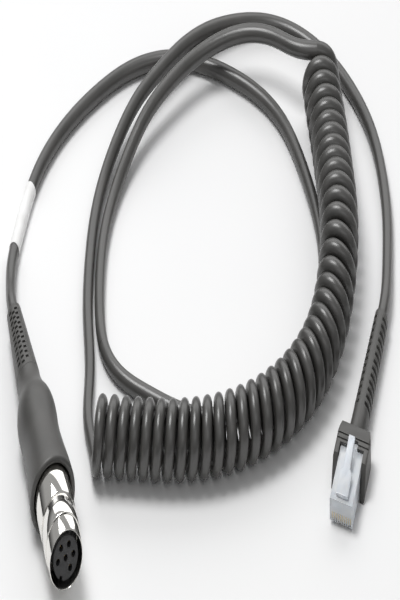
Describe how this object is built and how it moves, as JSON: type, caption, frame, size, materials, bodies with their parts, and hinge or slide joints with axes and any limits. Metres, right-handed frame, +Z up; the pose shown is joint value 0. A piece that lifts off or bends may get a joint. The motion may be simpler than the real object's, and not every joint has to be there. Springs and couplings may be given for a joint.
{
  "type": "coiled interface cable",
  "caption": "Coiled interface cable for a handheld scanner: round locking cable connector at one end, clear modular plug in a winged boot at the other.",
  "frame": {"origin": "on the table under the middle of the cord's loops", "axes": "+Z up, +X to the right of the loops, +Y away from the two connector ends"},
  "size_m": [0.1944, 0.2115, 0.0236],
  "materials": {
    "cord_pvc": "satin",
    "moulding": "satin",
    "core": "matte",
    "label": "satin",
    "nickel": "polished",
    "gold_contact": "polished",
    "insulator_black": "matte",
    "clear_plastic": "polished",
    "spring_steel": "satin",
    "seal_rubber": "matte",
    "wire_insulation": "satin"
  },
  "bodies": {
    "cord": {"lead_cord_connector_side": "cord_pvc", "id_label": "label", "coil_cord": "cord_pvc", "lead_cord_plug_side": "cord_pvc"},
    "coil_tail": {"coil_tail_cord": "cord_pvc"},
    "connector": {"connector_strain_relief": "moulding", "connector_boot": "moulding", "inner_mould": "core", "connector_shell": "nickel", "ring_retainer": "spring_steel", "insulator": "insulator_black", "socket_contacts": "gold_contact", "face_seal": "seal_rubber", "shield_ferrule": "spring_steel", "connector_wires": "wire_insulation", "connector_cord_end": "cord_pvc", "connector_core_end": "core"},
    "ring": {"coupling_ring": "nickel"},
    "plug": {"plug_strain_relief": "moulding", "plug_boot": "moulding", "plug_body": "clear_plastic", "contact_blades": "gold_contact", "load_bar": "clear_plastic", "plug_wires": "wire_insulation", "plug_cord_end": "cord_pvc", "plug_core_end": "core"},
    "latch": {"plug_latch": "clear_plastic"}
  },
  "joints": [
    {"name": "coil_stretch", "type": "slide", "parent": "cord", "child": "coil_tail", "axis": [0, 1, 0], "range_m": [0, 0.01], "stiffness_N_per_m": 60, "deforming": ["coil_cord", "coil_tail_cord"]},
    {"name": "connector_bend", "type": "hinge", "parent": "cord", "child": "connector", "pos_m": [-0.08851, -0.02397, 0.00796], "axis": [-0.9583, -0.2857, 0], "range_deg": [0, 30], "deforming": ["connector_strain_relief"]},
    {"name": "ring_turn", "type": "hinge", "parent": "connector", "child": "ring", "pos_m": [-0.06684, -0.09666, 0.0126], "axis": [0.2852, -0.9565, 0.061], "continuous": true},
    {"name": "plug_bend", "type": "hinge", "parent": "cord", "child": "plug", "pos_m": [0.08468, -0.02802, 0.0044], "axis": [-0.9542, 0.299, 0], "range_deg": [0, 30], "deforming": ["plug_strain_relief"]},
    {"name": "latch_press", "type": "hinge", "parent": "plug", "child": "latch", "pos_m": [0.06973, -0.07573, 0.0083], "axis": [-0.9542, 0.299, 0], "range_deg": [0, 5], "stiffness_Nm_per_rad": 0.05}
  ]
}
